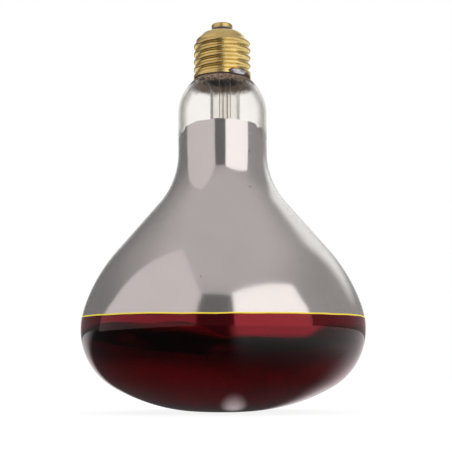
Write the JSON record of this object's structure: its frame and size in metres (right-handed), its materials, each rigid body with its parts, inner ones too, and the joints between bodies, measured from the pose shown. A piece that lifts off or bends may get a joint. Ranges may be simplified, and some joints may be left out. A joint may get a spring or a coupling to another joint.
{
  "type": "infrared heat lamp bulb",
  "caption": "Mirrored reflector heat lamp with a ruby-coated domed face, clear neck window, soldered wire ends and a brass Edison screw cap.",
  "frame": {"origin": "middle of the domed face, where the lamp touches what it stands on", "axes": "+Z along the lamp from the face up to the screw cap; +X to the right when the side solder is at the front right"},
  "size_m": [0.127, 0.127, 0.1781],
  "materials": {
    "clear_glass": "clear blown glass, gloss",
    "ruby_glass": "deep ruby coat on glass, gloss",
    "mirror": "evaporated aluminium film, mirror bright",
    "brass": "rolled brass sheet, lightly tarnished",
    "black_glass": "black moulded insulator glass, gloss",
    "solder": "dull tin solder with burnt flux",
    "cement": "grey-brown baked basing cement, matte",
    "copper_wire": "copper-clad lead wire",
    "nickel_wire": "nickel and molybdenum wire",
    "tungsten": "coiled tungsten, grey"
  },
  "bodies": {
    "root": {"glass_envelope": "clear_glass", "ruby_coating": "ruby_glass", "reflector_coating": "mirror", "stem_tube": "clear_glass", "exhaust_tube": "clear_glass", "button_rod": "clear_glass", "cap_shell": "brass", "cap_insulator": "black_glass", "centre_contact": "brass", "centre_solder": "solder", "side_solder": "solder", "basing_cement": "cement", "centre_lead_outer": "copper_wire", "centre_lead_seal": "nickel_wire", "centre_lead_inner": "nickel_wire", "side_lead_outer": "copper_wire", "side_lead_seal": "nickel_wire", "side_lead_inner": "nickel_wire", "filament": "tungsten", "filament_support_1": "nickel_wire", "filament_support_2": "nickel_wire", "filament_support_3": "nickel_wire", "filament_support_4": "nickel_wire"}
  },
  "joints": []
}
